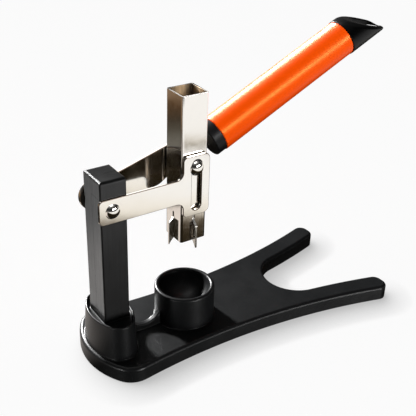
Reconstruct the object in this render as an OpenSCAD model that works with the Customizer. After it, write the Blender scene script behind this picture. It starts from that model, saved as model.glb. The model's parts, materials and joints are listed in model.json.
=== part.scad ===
// Bench lever press that scores a nut held in the cup of its base.
// Origin: on the table, on the press axis. +X runs from the post towards the
// fork of the base, +Z is up, and the lever is raised at rest. Millimetres.

/* [Press] */
// Distance from the press axis to the middle of the post
post_offset = 61; // [58:0.5:68]
// How far the lever pivot lies behind the middle of the post
pivot_back = 1.5; // [0:0.1:2]
// Height of the lever pivot above the table
pivot_z = 122.2; // [118:0.1:128]
// Height of the ram pin above the pivot, with the lever raised
pin_rise = 14.8; // [13:0.1:16]
// Travel of the ram
travel = 25; // [20:0.5:25]

/* [Base plate] */
// Thickness of the moulded base plate
base_t = 12; // [10:0.5:15]
// Distance from the press axis to the back end
back_len = 79.5; // [78.5:0.5:90]
// Distance from the press axis to the ends of the prongs
fork_len = 160; // [150:1:180]
// Width at the waist, where the base is narrowest
waist_w = 68; // [64:0.5:76]
// Distance from the press axis to the waist
waist_x = 10; // [5:0.5:20]
// Radius of the hollow curve of the sides
side_r = 500; // [420:5:700]
// Distance from the press axis to the closed end of the fork
notch_x = 80.5; // [70:0.5:95]
// Width of a prong
prong_w = 17; // [15:0.5:22]
// Radius of the bowed back end
back_r = 55; // [48:1:62]
// Radius of the back corners
corner_r = 17; // [10:0.5:20]
// Radius of the corners of the prong ends
tip_r = 7; // [4:0.5:7.4]
// Radius of the rounded upper edge
edge_r = 2.6; // [1:0.1:3.5]

/* [Rubber sole] */
// Thickness of the sole
sole_t = 1.5; // [1.2:0.1:2.5]
// How far the sole stands out below the base plate
sole_proud = 0.5; // [0.3:0.1:1]
// Distance from the edge of the base to the edge of the sole
sole_inset = 3.5; // [2.5:0.1:5]

/* [Collar, cup and rib] */
// Height of the collar above the base plate
collar_h = 26; // [20:0.5:32]
// Distance from the post to the outside of the collar, along the base
collar_side = 5; // [4.6:0.1:5.6]
// Distance from the post to the outside of the collar, across the base
collar_end = 12.9; // [12:0.1:14]
// Radius of the ends of the collar
collar_round = 10.5; // [9:0.1:12]
// How much wider the collar is at its foot, on each side
collar_draft = 1.4; // [0.5:0.1:1.8]
// Thickness of the collar's rim
collar_wall = 2; // [1.5:0.1:3]
// Depth of the dished floor inside the rim
collar_dip = 2.5; // [1:0.1:4]
// Outer diameter of the cup
cup_d = 44; // [40:0.5:48]
// Height of the cup above the base plate
cup_h = 26; // [20:0.5:32]
// Thickness of the cup's rim
cup_wall = 3.4; // [2.4:0.1:5]
// Depth of the bowl
bowl_depth = 16; // [10:0.5:18]
// Thickness of the rib between collar and cup
rib_t = 4.5; // [3:0.1:8]
// Height of the lowest point of the rib above the base plate
rib_low = 4; // [2:0.1:8]
// Radius of the hollow in the top of the rib
rib_r = 15; // [14:0.5:20]

/* [Post] */
// Size of the post along the base
post_w = 19; // [18:0.1:21]
// Height of the top of the post above the bracket's arm
post_above = 12; // [8:0.5:24]
// Radius of the upright edges
post_edge_r = 1.3; // [0.6:0.1:2]
// Radius of the upper edges
post_top_r = 2; // [1:0.1:3]
// Size of the steel core along the base
core_w = 12; // [11.5:0.1:13]
// Wall of the post's shells in front of and behind the core
shell_wall = 4; // [3:0.1:5]

/* [Guide bracket] */
// Thickness of the bracket
bracket_t = 2; // [1.5:0.1:3]
// Height of the bracket's arm
arm_h = 17.6; // [14:0.1:20]
// How far the arm runs past the post
arm_over = 1.5; // [0.5:0.1:3]
// Depth of the seat for the arm in the face of the post
arm_seat = 0.6; // [0.3:0.1:1]
// Width of the bracket's head
head_w = 20.6; // [18:0.1:26]
// Metal above the slot
head_above = 3; // [2.5:0.1:6]
// Metal below the slot
head_below = 3.7; // [2.5:0.1:6]
// Width of the slot
slot_w = 7.7; // [7:0.1:9]
// Straight slot left over beyond the pin at each end of its travel
slot_spare = 2.4; // [2.3:0.1:3]
// Radius of the bracket's outer corners
bracket_r = 3; // [1:0.1:4]
// Radius of the fillets between arm and head
bracket_fillet = 5; // [2:0.1:6]

/* [Ram] */
// Outer width of the square tube
tube_w = 20; // [18:0.1:20]
// Wall of the square tube
tube_wall = 1.2; // [0.8:0.1:2]
// Outer corner radius of the square tube
tube_r = 1.6; // [0.8:0.1:2.5]
// Length of the tube above the ram pin
tube_above = 50.2; // [40:0.5:60]
// Length of the tube below the ram pin
tube_below = 56.2; // [50:0.5:60]
// Width of the slits for the blades
slit_w = 1.9; // [1.7:0.05:2.5]
// Height of the slits
slit_h = 20.7; // [18:0.1:24]

/* [Blades] */
// Thickness of a blade
blade_t = 1.5; // [1:0.05:1.6]
// How far a blade stands out of the tube on each side
blade_reach = 3.8; // [2:0.1:4.5]
// How far the tips of a blade hang below the tube
blade_drop = 4.8; // [3:0.1:7]
// Radius of the hollow cutting edge
edge_hollow_r = 15.4; // [15:0.1:30]
// Height of the sloping shoulder above the lower end of the tube
shoulder_h = 16; // [12:0.1:17]
// Height of the middle stem of the long blade above the slits
stem_h = 11; // [8:0.5:14]

/* [Lever] */
// Thickness of the lever plate
lever_t = 3.2; // [2.5:0.1:4]
// Radius of the round end at the pivot
eye_r = 10.5; // [9:0.1:12]
// Height of the upper edge above the lever's middle line, at the pivot
lever_top_near = 7.2; // [6:0.1:9]
// Height of the upper edge above the lever's middle line, at the shoulder
lever_top_far = 10.8; // [9:0.1:13]
// Distance from the pivot to the shoulder of the upper edge
shoulder_u = 74; // [72:0.5:78]
// Distance from the pivot to the deepest point of the plate
belly_u = 46; // [42:0.5:50]
// Depth of the plate below the middle line at that point
belly_v = 15.9; // [13:0.1:18]
// Width of the tang in the handle
tang_w = 8; // [7:0.1:12]
// Length of the tang in the handle
tang_len = 58; // [50:1:70]

/* [Handle] */
// Distance from the pivot to the start of the handle's axis
handle_u = 97; // [94:0.5:104]
// Angle between the lever plate and the handle
handle_bend = 12.3; // [8:0.1:15]
// Outer diameter of the handle
handle_d = 26.7; // [25:0.1:30]
// Wall of the coloured sleeve
sleeve_wall = 2.2; // [1.5:0.1:3]
// Length of the sleeve
sleeve_len = 121.5; // [110:0.5:130]
// Outer diameter of the ferrule
ferrule_d = 25.6; // [24:0.1:26]
// Visible length of the ferrule
ferrule_len = 7.5; // [6:0.5:10]
// How far the cap stands out around the sleeve
cap_lip = 0.5; // [0.2:0.1:1]
// Length of the cap along its upper side
cap_short = 5; // [4.5:0.5:8]
// Length of the cap along its lower side
cap_long = 40; // [38:0.5:46]
// Length of the hanging hole
hang_len = 21; // [19:0.1:22]
// Width of the hanging hole
hang_w = 17; // [14:0.1:18]

/* [Pins and fasteners] */
// Diameter of the pivot pin and of the ram pin
pin_d = 6; // [5:0.1:6.4]
// Diameter of the domed pin heads
dome_d = 10.4; // [9.5:0.1:12]
// Height of the domed pin heads
dome_h = 3; // [2:0.1:4]
// Diameter of the washers under the nuts
washer_d = 12; // [11:0.1:13]
// Thickness of the washers under the nuts
washer_t = 1; // [0.6:0.1:1.5]
// Width across the flats of the nuts
nut_af = 10; // [9:0.1:11]
// Height of the hexagon of the nuts
nut_h = 4.6; // [3:0.1:6]
// Thickness of the spacer between the tube and the lever
spacer_t = 1.9; // [1.5:0.1:3]
// Diameter of the blade rivet
rivet_d = 3; // [2:0.1:4]
// Diameter of the pins through the tang
tang_pin_d = 4; // [3:0.1:5]
// Diameter of the shell screws
shell_screw_d = 3; // [2.5:0.1:3.5]
// Diameter of the base screw
base_screw_d = 6; // [5:0.1:6.5]

/* [Clearances] */
// Gap between fixed pieces that fit each other
fit_gap = 0.1; // [0.05:0.01:0.2]
// Radial running clearance of the pivot
run_gap = 0.04; // [0.02:0.01:0.08]
// Side clearance of pieces that slide
slide_gap = 0.2; // [0.12:0.01:0.3]
// Gap between neighbouring shells of the post
seam_gap = 0.16; // [0.1:0.02:0.3]
// Gap between the back of the post and the lever plate
lever_gap = 0.5; // [0.4:0.05:1]
// Gap between the tube and the bracket
tube_gap = 1; // [0.6:0.05:1.2]

/* [Hidden] */
$fn = 64;
arc_steps = 6;
side_steps = 10;
edge_steps = 3;
rim_steps = 6;
cut_over = 1;
clear_h = 400;

base_z = sole_proud;
base_top = base_z + base_t;
sole_roof = sole_t;
collar_top = base_top + collar_h;
cup_top = base_top + cup_h;
post_x = -post_offset;
post_foot = base_top + 2;
pivot_x = post_x - pivot_back;
pin_up = pivot_z + pin_rise;
pin_down = pin_up - travel;
lever_rest = atan2(pin_rise, -pivot_x);
pin_u = norm([pivot_x, pin_rise]);
pin_u_min = -pivot_x;

arm_back_y = -tube_w / 2 - tube_gap;
arm_front_y = arm_back_y - bracket_t;
arm_low = pivot_z - arm_h / 2;
arm_high = pivot_z + arm_h / 2;
slot_low = pin_down - slot_spare;
slot_high = pin_up + slot_spare;
head_low = slot_low - slot_w / 2 - head_below;
head_high = slot_high + slot_w / 2 + head_above;
face_y = arm_back_y - arm_seat;
lever_y = tube_w / 2 + slide_gap + spacer_t;
back_y = lever_y - lever_gap;
post_d = back_y - face_y;
post_mid_y = (back_y + face_y) / 2;
core_d = post_d - 2 * shell_wall - 2 * fit_gap;
collar_a = post_w / 2 + collar_side;
collar_b = post_d / 2 + collar_end;
post_top = arm_high + post_above;
lever_back_y = lever_y + lever_t;
handle_y = lever_y + lever_t / 2;

tube_top = pin_up + tube_above;
tube_low = pin_up - tube_below;
slit_top = tube_low + slit_h;
blade_half = tube_w / 2 + blade_reach;
blade_low = tube_low - blade_drop;
lap_z = tube_low + shoulder_h * 0.6;
rivet_x = tube_w / 4;
rivet_z = slit_top + stem_h / 2;

ferrule_chamfer = 1;
ferrule_start = -7.3;
sleeve_start = ferrule_start + ferrule_len;
sleeve_end = sleeve_start + sleeve_len;
core_r = handle_d / 2 - sleeve_wall - fit_gap;
spigot_len = 11;
core_start = sleeve_start + fit_gap;
core_end = sleeve_end - spigot_len - cut_over;
tang_pins_s = [tang_len * 0.34, tang_len * 0.75];

// ---------- helpers ----------

// Points of an arc about c, from angle a0 to angle a1
function arc(c, r, a0, a1, n = arc_steps) =
    [for (i = [0:n]) c + r * [cos(a0 + (a1 - a0) * i / n), sin(a0 + (a1 - a0) * i / n)]];

// A list without its first point, for arcs that share an end
function rest(v) = [for (i = [1:len(v) - 1]) v[i]];

function unit(v) = v / norm(v);
function heading(v) = atan2(v[1], v[0]);
function turn(a) = a > 180 ? a - 360 : a < -180 ? a + 360 : a;

// One corner [x, y, radius] between its neighbours, rounded to an arc
function round_corner(p0, p1, p2) =
    let (c = [p1[0], p1[1]], u = unit([p0[0], p0[1]] - c), v = unit([p2[0], p2[1]] - c),
         half = acos(u * v) / 2, centre = c + unit(u + v) * p1[2] / sin(half),
         a0 = heading(c + u * p1[2] / tan(half) - centre),
         a1 = heading(c + v * p1[2] / tan(half) - centre))
    arc(centre, p1[2], a0, a0 + turn(a1 - a0));

// An outline of [x, y, radius] corners; a radius of 0 stays sharp
function rounded(pts) =
    [for (i = [0:len(pts) - 1])
        let (p = pts[i])
        each p[2] > 0
            ? round_corner(pts[(i + len(pts) - 1) % len(pts)], p, pts[(i + 1) % len(pts)])
            : [[p[0], p[1]]]];

// Where two circles meet, on the side with the smaller x
function circles_meet(c0, r0, c1, r1) =
    let (d = norm(c1 - c0), u = (c1 - c0) / d, a = (r0 * r0 - r1 * r1 + d * d) / (2 * d),
         h = sqrt(r0 * r0 - a * a), p = c0 + a * u, q = h * [-u[1], u[0]])
    q[0] < 0 ? p + q : p - q;

// Outline in the XZ plane, made a plate between two y values
module plate_xz(pts, y0, y1) {
    translate([0, y1, 0]) rotate([90, 0, 0]) linear_extrude(y1 - y0) polygon(pts);
}

// Cylinder along Y between two y values
module rod_y(d, y0, y1, fn = $fn) {
    translate([0, y1, 0]) rotate([90, 0, 0]) cylinder(d = d, h = y1 - y0, $fn = fn);
}

module ring_y(d, bore, y0, y1) {
    difference() {
        rod_y(d, y0, y1);
        rod_y(bore, y0 - cut_over, y1 + cut_over);
    }
}

// Rounded rectangle with true arcs at its corners
module rounded_square(w, d, r) {
    square([w - 2 * r, d], center = true);
    square([w, d - 2 * r], center = true);
    for (x = [-1, 1], y = [-1, 1]) translate([x * (w / 2 - r), y * (d / 2 - r)]) circle(r);
}

// Domed head with its flat side at y, bulging towards -Y
module dome_front(y) {
    r = (dome_d * dome_d / 4 + dome_h * dome_h) / (2 * dome_h);
    intersection() {
        translate([0, y - dome_h + r, 0]) sphere(r);
        rod_y(dome_d, y - dome_h - cut_over, y);
    }
}

// Domed hexagon nut with its flat side at y, bulging towards +Y
module cap_nut(y) {
    r = nut_af / 2 - 0.6;
    difference() {
        union() {
            rod_y(nut_af / cos(30), y, y + nut_h, 6);
            intersection() {
                translate([0, y + nut_h, 0]) sphere(r);
                rod_y(2 * r, y, y + nut_h + r);
            }
        }
        rod_y(pin_d + 2 * fit_gap, y - cut_over, y + nut_h);
    }
}

module at_pivot() translate([pivot_x, 0, pivot_z]) children();
module at_ram_pin() translate([0, 0, pin_up]) children();

// X runs from the pivot through the ram pin
module lever_frame() at_pivot() rotate([0, -lever_rest, 0]) children();

// X runs along the handle
module handle_frame() {
    lever_frame() translate([handle_u, handle_y, 0]) rotate([0, -handle_bend, 0]) children();
}
module handle_turned() handle_frame() rotate([0, 90, 0]) children();

// ---------- base ----------

side_c = [waist_x, waist_w / 2 + side_r];
back_c = [back_r - back_len, 0];
corner_c = circles_meet(back_c, back_r - corner_r, side_c, side_r + corner_r);
tip_cx = fork_len - tip_r;
tip_outer_c = [tip_cx, side_c[1] - sqrt(pow(side_r + tip_r, 2) - pow(tip_cx - waist_x, 2))];
tip_inner_c = [tip_cx, side_c[1] - sqrt(pow(side_r + prong_w - tip_r, 2) - pow(tip_cx - waist_x, 2))];
inner_r = side_r + prong_w;
notch_r = (pow(notch_x - waist_x, 2) + pow(side_c[1], 2) - inner_r * inner_r)
    / (2 * (inner_r - notch_x + waist_x));
notch_c = [notch_x + notch_r, 0];

// Upper half of the plan, from the back end round to the fork, moved in by d.
// Every stretch is an arc, so a step inwards only changes its radius.
function half_plan(d) =
    let (a_corner = heading(corner_c - back_c), a_side = heading(corner_c - side_c),
         a_tip = heading(tip_outer_c - side_c), a_in = heading(tip_inner_c - side_c),
         a_notch = heading(notch_c - side_c))
    concat(arc(back_c, back_r - d, 180, a_corner, edge_steps),
           rest(arc(corner_c, corner_r - d, a_corner, a_side + 180)),
           rest(arc(side_c, side_r + d, a_side, a_tip, side_steps)),
           rest(arc(tip_outer_c, tip_r - d, a_tip + 180, 0)),
           arc(tip_inner_c, tip_r - d, 0, a_in),
           rest(arc(side_c, inner_r - d, a_in, a_notch, side_steps / 2)),
           rest(arc(notch_c, notch_r + d, a_notch + 180, 180)));

function plan(d) =
    let (half = half_plan(d), n = len(half))
    concat(half, [for (i = [n - 2:-1:1]) [half[i][0], -half[i][1]]]);

// A face without the points that come twice running
function distinct(f) = [for (i = [0:len(f) - 1]) if (f[i] != f[(i + 1) % len(f)]) f[i]];

// Faces of one end of the stack. Strips run across the plate up to its point a,
// then a fan round the notch, strips along each prong and round its tip.
function end_faces(n) =
    let (side_0 = edge_steps + arc_steps, side_1 = side_0 + side_steps, apex = n / 2,
         notch_0 = apex - arc_steps, in_steps = side_steps / 2, tip_1 = notch_0 - in_steps,
         half = half_plan(0),
         a = side_0 + len([for (k = [1:side_steps]) if (half[side_0 + k][0] < notch_x - prong_w / 2) k]),
         m = max(side_1 - a, in_steps),
         prong = concat(
            [for (j = [0:arc_steps - 1]) [a, notch_0 + j, notch_0 + j + 1]],
            [for (k = [0:m - 1])
                let (u0 = k / m, u1 = (k + 1) / m)
                distinct([a + round(u0 * (side_1 - a)), a + round(u1 * (side_1 - a)),
                          notch_0 - round(u1 * in_steps), notch_0 - round(u0 * in_steps)])],
            [for (j = [0:arc_steps - 1]) [side_1 + j, side_1 + j + 1, tip_1 - j - 1, tip_1 - j]]))
    concat([[0, 1, n - 1]],
           [for (i = [1:a - 1]) [i, i + 1, n - i - 1, n - i]],
           [[a, apex, n - a]],
           prong,
           [for (f = prong) [for (i = [len(f) - 1:-1:0]) n - f[i]]]);

// Solid through stacked rings of n points each, closed at both ends by the given faces
module ring_stack(points, n, ends) {
    count = len(points) / n;
    last = (count - 1) * n;
    polyhedron(points, concat(
        [for (f = ends) [for (i = [len(f) - 1:-1:0]) f[i]]],
        [for (f = ends) [for (i = f) last + i]],
        [for (k = [0:count - 2], i = [0:n - 1])
            let (j = (i + 1) % n)
            [k * n + i, k * n + j, (k + 1) * n + j, (k + 1) * n + i]]));
}

// Base plate: rings of the plan, stacked and drawn in over the rounded edge
module base_plate() {
    steps = [for (i = [0:edge_steps]) 90 * i / edge_steps];
    rings = concat([[0, base_z]],
                   [for (a = steps) [edge_r * (1 - cos(a)), base_top - edge_r + edge_r * sin(a)]]);
    n = len(plan(0));
    ring_stack([for (ring = rings, p = plan(ring[0])) [p[0], p[1], ring[1]]], n, end_faces(n));
}

// Oval plan of the collar, moved in by d: long arcs at the sides, short ones at the ends
function oval(d) =
    let (e = collar_b - collar_round, g = collar_a - collar_round, k = (e * e - g * g) / (2 * g),
         t = heading([k, e]), side = k + collar_a - d, end = collar_round - d,
         points = concat(arc([-k, 0], side, t, -t),
                         rest(arc([0, -e], end, 360 - t, 180 + t, side_steps)),
                         rest(arc([k, 0], side, 180 + t, 180 - t)),
                         rest(arc([0, e], end, 180 - t, t, side_steps))))
    rest(points);

// Collar: an oval, wider at its foot, with a rounded rim around a dished floor
module collar() {
    rim = collar_wall / 2;
    steps = [for (i = [0:rim_steps]) 180 * i / rim_steps];
    rings = concat([[-collar_draft, base_top - cut_over]],
                   [for (a = steps) [rim * (1 - cos(a)), collar_top - rim + rim * sin(a)]],
                   [[collar_wall * 1.2, collar_top - collar_dip]]);
    n = len(oval(0));
    translate([post_x, post_mid_y, 0])
        ring_stack([for (ring = rings, p = oval(ring[0])) [p[0], p[1], ring[1]]], n,
                   [[for (i = [0:n - 1]) i]]);
}

module cup() {
    r = cup_d / 2;
    rim = cup_wall / 2;
    mouth = r - cup_wall;
    bowl_r = (mouth * mouth + pow(bowl_depth - rim, 2)) / (2 * (bowl_depth - rim));
    bowl_c = [0, cup_top - bowl_depth + bowl_r];
    bowl_a = heading([mouth, cup_top - rim] - bowl_c);
    rotate_extrude() polygon(concat(
        [[0, base_top - cut_over], [r, base_top - cut_over]],
        arc([r - rim, cup_top - rim], rim, 0, 180),
        arc(bowl_c, bowl_r, bowl_a, -90, 2 * arc_steps)));
}

module rib() {
    x0 = post_x + collar_a - cut_over;
    x1 = -cup_d / 2 + cut_over;
    low = base_top + rib_low;
    difference() {
        translate([x0, -rib_t / 2, base_top - cut_over]) cube([x1 - x0, rib_t, rib_low + 9]);
        translate([(x0 + x1) / 2, 0, low + rib_r]) rod_y(2 * rib_r, -rib_t, rib_t);
    }
}

module base() color([0.05, 0.05, 0.055]) difference() {
    union() {
        base_plate();
        collar();
        cup();
        rib();
    }
    translate([0, 0, base_z - cut_over])
        linear_extrude(sole_roof - base_z + cut_over) polygon(plan(sole_inset));
    translate([post_x, post_mid_y, post_foot + clear_h / 2])
        cube([post_w + 2 * fit_gap, post_d + 2 * fit_gap, clear_h], center = true);
    translate([post_x, post_mid_y, 0]) cylinder(d = base_screw_d + 6 * fit_gap, h = clear_h);
    translate([post_x, post_mid_y, 0]) cylinder(d = counterbore_d, h = counterbore_top);
}

module sole() color([0.08, 0.08, 0.08])
    linear_extrude(sole_t - fit_gap / 2) polygon(plan(sole_inset + fit_gap));

// ---------- post ----------

counterbore_d = 18;
counterbore_top = base_top - 4;
base_washer_t = 1.5;
base_head_h = 4;
base_screw_len = 30;

// Rounded outer form of the post: three extrusions that meet
module post_form() {
    x0 = post_x - post_w / 2;
    x1 = post_x + post_w / 2;
    lo = post_foot;
    intersection() {
        translate([post_x, post_mid_y, lo])
            linear_extrude(post_top - lo) rounded_square(post_w, post_d, post_edge_r);
        plate_xz(rounded([[x0, lo, 0], [x1, lo, 0], [x1, post_top, post_top_r],
                          [x0, post_top, post_top_r]]), face_y - cut_over, back_y + cut_over);
        translate([x0 - cut_over, 0, 0]) rotate([90, 0, 90]) linear_extrude(post_w + 2 * cut_over)
            polygon(rounded([[face_y, lo, 0], [back_y, lo, 0], [back_y, post_top, post_top_r],
                             [face_y, post_top, post_top_r]]));
    }
}

// Room for the steel core, the pivot and the arm of the bracket
module post_rooms() {
    translate([post_x, post_mid_y, post_foot + (core_top - post_foot) / 2])
        cube([core_w + 2 * fit_gap, core_d + 2 * fit_gap, core_top - post_foot + 2 * cut_over],
             center = true);
    at_pivot() rod_y(pin_d + 2 * fit_gap, face_y - cut_over, back_y + cut_over);
    translate([post_x - post_w, face_y - cut_over, arm_low - fit_gap])
        cube([2 * post_w, arm_seat + cut_over, arm_high - arm_low + 2 * fit_gap]);
}

core_top = post_top - 4;
screw_heights = [base_top + collar_h + 22, (base_top + collar_h + arm_low) / 2 + 18, arm_high + 5];
screw_head_d = 2 * shell_screw_d;
screw_front_y = face_y + 2;

module post_core() color([0.55, 0.56, 0.58]) difference() {
    translate([post_x - core_w / 2, post_mid_y - core_d / 2, post_foot])
        cube([core_w, core_d, core_top - post_foot]);
    at_pivot() rod_y(pin_d + 2 * run_gap, -core_d, core_d);
    translate([post_x, post_mid_y, 0]) cylinder(d = base_screw_d + fit_gap, h = post_foot + base_screw_len);
    for (z = screw_heights) translate([post_x, 0, z])
        rod_y(shell_screw_d + 2 * fit_gap, -core_d, core_d);
}

module post_rear_shell() color([0.06, 0.06, 0.065]) difference() {
    intersection() {
        post_form();
        translate([post_x - post_w, post_mid_y + seam_gap / 2, 0]) cube([2 * post_w, post_d, clear_h]);
    }
    post_rooms();
    for (z = screw_heights) translate([post_x, 0, z]) {
        rod_y(shell_screw_d + 2 * fit_gap, 0, post_d);
        translate([0, back_y, 0]) rotate([90, 0, 0])
            cylinder(d1 = screw_head_d + 2 * fit_gap, d2 = shell_screw_d, h = shell_screw_d / 2 + fit_gap);
    }
}

// Front half of the post between two heights
module front_half(z0, z1) difference() {
    intersection() {
        post_form();
        translate([post_x - post_w, post_mid_y - post_d - seam_gap / 2, z0])
            cube([2 * post_w, post_d, z1 - z0]);
    }
    post_rooms();
    for (z = screw_heights) translate([post_x, 0, z])
        rod_y(shell_screw_d + fit_gap, screw_front_y - fit_gap, 0);
}

module post_front_shell() color([0.06, 0.06, 0.065]) front_half(0, arm_high);
module post_front_cap() color([0.06, 0.06, 0.065]) front_half(arm_high + seam_gap, clear_h);

// Three countersunk screws from the back hold the front shells to the core
module shell_screws() color([0.3, 0.3, 0.31]) for (z = screw_heights) translate([post_x, 0, z])
    difference() {
        union() {
            rod_y(shell_screw_d, screw_front_y, back_y - fit_gap);
            translate([0, back_y - fit_gap, 0]) rotate([90, 0, 0])
                cylinder(d1 = screw_head_d, d2 = shell_screw_d, h = shell_screw_d / 2);
        }
        translate([0, back_y, 0]) rotate([90, 0, 0])
            cylinder(d = shell_screw_d * 0.7, h = shell_screw_d / 2, $fn = 6);
    }

module base_screw() color([0.5, 0.5, 0.52]) translate([post_x, post_mid_y, 0]) difference() {
    union() {
        translate([0, 0, counterbore_top - base_washer_t - base_head_h])
            cylinder(d = 2 * base_screw_d - 1, h = base_head_h);
        translate([0, 0, counterbore_top - base_washer_t - cut_over])
            cylinder(d = base_screw_d, h = base_screw_len);
    }
    translate([0, 0, counterbore_top - base_washer_t - base_head_h - cut_over])
        cylinder(d = base_screw_d - 1, h = base_head_h * 0.7, $fn = 6);
}

module base_washer() color([0.5, 0.5, 0.52])
    translate([post_x, post_mid_y, counterbore_top - base_washer_t]) difference() {
        cylinder(d = counterbore_d - 1, h = base_washer_t);
        translate([0, 0, -cut_over])
            cylinder(d = base_screw_d + 4 * fit_gap, h = base_washer_t + 2 * cut_over);
    }

// ---------- guide bracket and pivot ----------

module guide_bracket() {
    left = post_x - post_w / 2 - arm_over;
    hw = head_w / 2;
    f = bracket_fillet;
    c = bracket_r;
    color([0.86, 0.84, 0.8]) difference() {
        plate_xz(rounded([[left, arm_low, c], [-hw, arm_low, f], [-hw, head_low, c],
                          [hw, head_low, c + 1], [hw, head_high, c + 1], [-hw, head_high, c],
                          [-hw, arm_high, f], [left, arm_high, c]]), arm_front_y, arm_back_y);
        for (z = [slot_low, slot_high]) translate([0, 0, z])
            rod_y(slot_w, arm_front_y - cut_over, arm_back_y + cut_over);
        translate([-slot_w / 2, arm_front_y - cut_over, slot_low])
            cube([slot_w, bracket_t + 2 * cut_over, slot_high - slot_low]);
        at_pivot() rod_y(pin_d + 2 * run_gap, arm_front_y - cut_over, arm_back_y + cut_over);
    }
}

pivot_washer_y = lever_back_y + fit_gap;
pivot_nut_y = pivot_washer_y + washer_t;

// One pin carries the bracket in front and the lever behind
module pivot_pin() color([0.86, 0.84, 0.8]) at_pivot() {
    dome_front(arm_front_y);
    rod_y(pin_d, arm_front_y - fit_gap, pivot_nut_y + nut_h - fit_gap);
}

module pivot_washer() color([0.8, 0.79, 0.77]) at_pivot()
    ring_y(washer_d, pin_d + 2 * fit_gap, pivot_washer_y, pivot_nut_y);

module pivot_nut() color([0.82, 0.81, 0.79]) at_pivot() cap_nut(pivot_nut_y);

// ---------- ram ----------

block_h = slot_w - slide_gap - 1.5;
block_front_y = arm_front_y - slide_gap / 2;
pin_head_y = block_front_y;
block_flange_t = tube_gap - slide_gap / 2;
ram_washer_y = lever_back_y + slide_gap;
ram_nut_y = ram_washer_y + washer_t;

module slit(z_top) {
    translate([-slit_w / 2, -tube_w, tube_low - cut_over])
        cube([slit_w, 2 * tube_w, z_top - slit_w / 2 - tube_low + cut_over]);
    translate([0, 0, z_top - slit_w / 2]) rod_y(slit_w, -tube_w, tube_w);
}

module ram_tube() color([0.86, 0.84, 0.8]) difference() {
    translate([0, 0, tube_low]) linear_extrude(tube_top - tube_low) difference() {
        rounded_square(tube_w, tube_w, tube_r);
        rounded_square(tube_w - 2 * tube_wall, tube_w - 2 * tube_wall, max(tube_r - tube_wall, 0.2));
    }
    slit(slit_top);
    rotate([0, 0, 90]) slit(slit_top);
    at_ram_pin() rod_y(pin_d + fit_gap, -tube_w, tube_w);
    translate([rivet_x, 0, rivet_z]) rod_y(rivet_d, -tube_w, tube_w);
}

// Outline of one blade: hollow cutting edge, tips outside the tube, sloping
// shoulders, and a middle part that reaches up inside the tube
function blade_outline(stem_top) =
    let (half_a = asin(blade_half / edge_hollow_r),
         hollow_c = [0, blade_low - edge_hollow_r * cos(half_a)],
         z_sh = tube_low + shoulder_h, in_x = tube_w / 2 - tube_wall / 2,
         stem_x = tube_w / 2 - tube_wall - fit_gap)
    concat(arc(hollow_c, edge_hollow_r, 90 - half_a, 90 + half_a, 2 * arc_steps),
           [[-blade_half, z_sh - blade_reach], [-in_x, z_sh + tube_wall / 2],
            [-in_x, slit_top - slit_w / 2], [-stem_x, slit_top - slit_w / 2], [-stem_x, stem_top],
            [stem_x, stem_top], [stem_x, slit_top - slit_w / 2], [in_x, slit_top - slit_w / 2],
            [in_x, z_sh + tube_wall / 2], [blade_half, z_sh - blade_reach]]);

lap_w = blade_t + 2 * fit_gap;

module blade_long() color([0.8, 0.79, 0.77]) difference() {
    plate_xz(blade_outline(slit_top + stem_h), -blade_t / 2, blade_t / 2);
    translate([-lap_w / 2, -blade_t, lap_z]) cube([lap_w, 2 * blade_t, clear_h]);
    translate([rivet_x, 0, rivet_z]) rod_y(rivet_d, -blade_t, blade_t);
}

module blade_cross() color([0.8, 0.79, 0.77]) rotate([0, 0, 90]) difference() {
    plate_xz(blade_outline(slit_top - slit_w / 2), -blade_t / 2, blade_t / 2);
    translate([-lap_w / 2, -blade_t, lap_z - clear_h]) cube([lap_w, 2 * blade_t, clear_h - fit_gap]);
}

module blade_rivet() color([0.8, 0.79, 0.77])
    translate([rivet_x, 0, rivet_z]) rod_y(rivet_d - fit_gap / 2, -tube_w / 2, tube_w / 2);

module ram_pin() color([0.86, 0.84, 0.8]) at_ram_pin() {
    dome_front(pin_head_y);
    rod_y(pin_d, pin_head_y - fit_gap, ram_nut_y + nut_h - fit_gap);
}

// Block on the ram pin that slides in the bracket's slot and keeps the tube upright
module guide_block() color([0.75, 0.75, 0.73]) at_ram_pin() difference() {
    union() {
        translate([-slot_w / 2 + slide_gap / 2, block_front_y, -block_h / 2])
            cube([slot_w - slide_gap, arm_back_y - block_front_y + slide_gap / 2, block_h]);
        rod_y(washer_d, -tube_w / 2 - block_flange_t, -tube_w / 2);
    }
    rod_y(pin_d + fit_gap, block_front_y - cut_over, 0);
}

module ram_spacer() color([0.8, 0.79, 0.77]) at_ram_pin()
    ring_y(washer_d, pin_d + fit_gap, tube_w / 2, tube_w / 2 + spacer_t);

module ram_washer() color([0.8, 0.79, 0.77]) at_ram_pin()
    ring_y(washer_d, pin_d + fit_gap, ram_washer_y, ram_nut_y);

module ram_nut() color([0.82, 0.81, 0.79]) at_ram_pin() cap_nut(ram_nut_y);

// ---------- lever and handle ----------

bush_d = pin_d + 3;
pin_slot_w = pin_d + 2 * slide_gap;
pin_slot_u = [pin_u_min - slide_gap - 0.3, pin_u + slide_gap + 0.3];
neck_s = -14;
neck_u = 58;
neck_v = -11.2;

// A point of the handle's frame, in the lever's frame
function on_handle(s, v) = [handle_u + s * cos(handle_bend) - v * sin(handle_bend),
                            s * sin(handle_bend) + v * cos(handle_bend)];

function lever_outline() =
    let (tw = tang_w / 2, a = on_handle(neck_s, tw), b = on_handle(tang_len, tw),
         c = on_handle(tang_len, -tw), d = on_handle(neck_s, -tw))
    rounded([[0, lever_top_near, 0], [0, -eye_r, 0], [belly_u, -belly_v, 12], [neck_u, neck_v, 20],
             [d[0], d[1], 6], [c[0], c[1], 2], [b[0], b[1], 2], [a[0], a[1], 5],
             [shoulder_u, lever_top_far, 6]]);

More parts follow.
